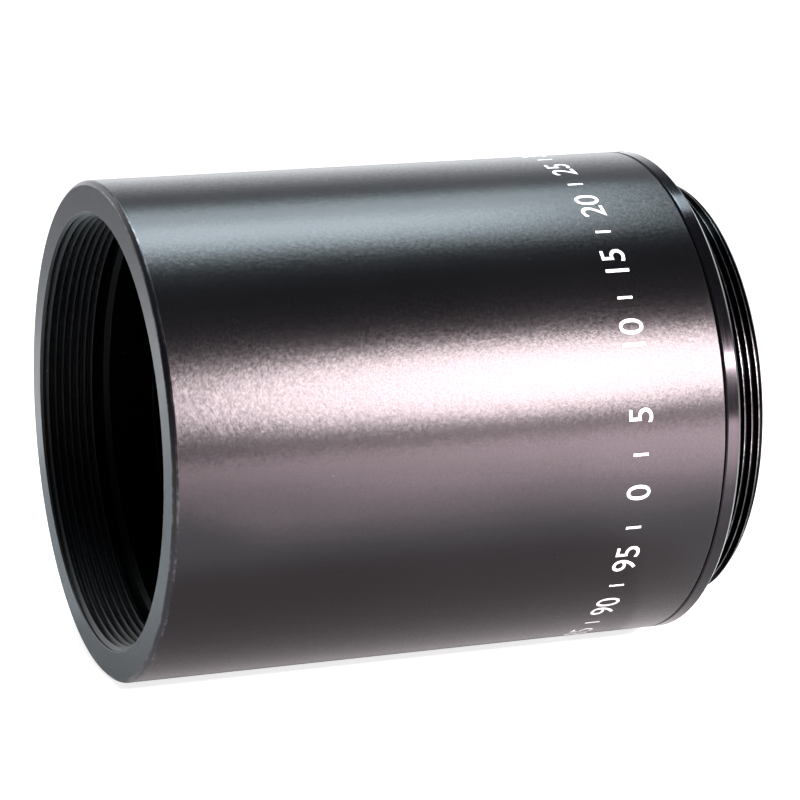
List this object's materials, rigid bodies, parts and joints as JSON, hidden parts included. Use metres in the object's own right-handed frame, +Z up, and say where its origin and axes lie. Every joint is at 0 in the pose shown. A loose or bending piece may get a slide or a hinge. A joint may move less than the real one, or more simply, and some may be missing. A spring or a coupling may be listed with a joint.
{
  "type": "teleconverter",
  "caption": "Black metal teleconverter tube with a female screw mount in front, a male one behind and a lens cell inside.",
  "frame": {"origin": "on the optical axis in the plane of the rear flange, which a camera's flange distance is measured from", "axes": "+X along the optical axis from the open front to the male rear thread, +Z up, with the tube lying on its side"},
  "size_m": [0.0603, 0.048, 0.048],
  "materials": {
    "barrel_black": "bead-blasted black anodised, satin",
    "ring_black": "turned black anodised, semi-gloss",
    "cell_black": "turned black anodised, matte",
    "stop_black": "matte black paint",
    "shim_brass": "plain",
    "coated_glass": "polished, thinly coated"
  },
  "bodies": {
    "root": {"barrel": "barrel_black", "rear_mount_ring": "ring_black", "cell_lock_ring": "cell_black", "optical_cell": "cell_black", "cell_shim": "shim_brass", "front_retaining_ring": "cell_black", "front_lens": "coated_glass", "second_lens": "coated_glass", "aperture_stop": "stop_black", "group_spacer": "cell_black", "third_lens": "coated_glass", "lens_spacer": "cell_black", "rear_lens": "coated_glass", "rear_retaining_ring": "cell_black", "light_baffle": "cell_black"}
  },
  "joints": []
}
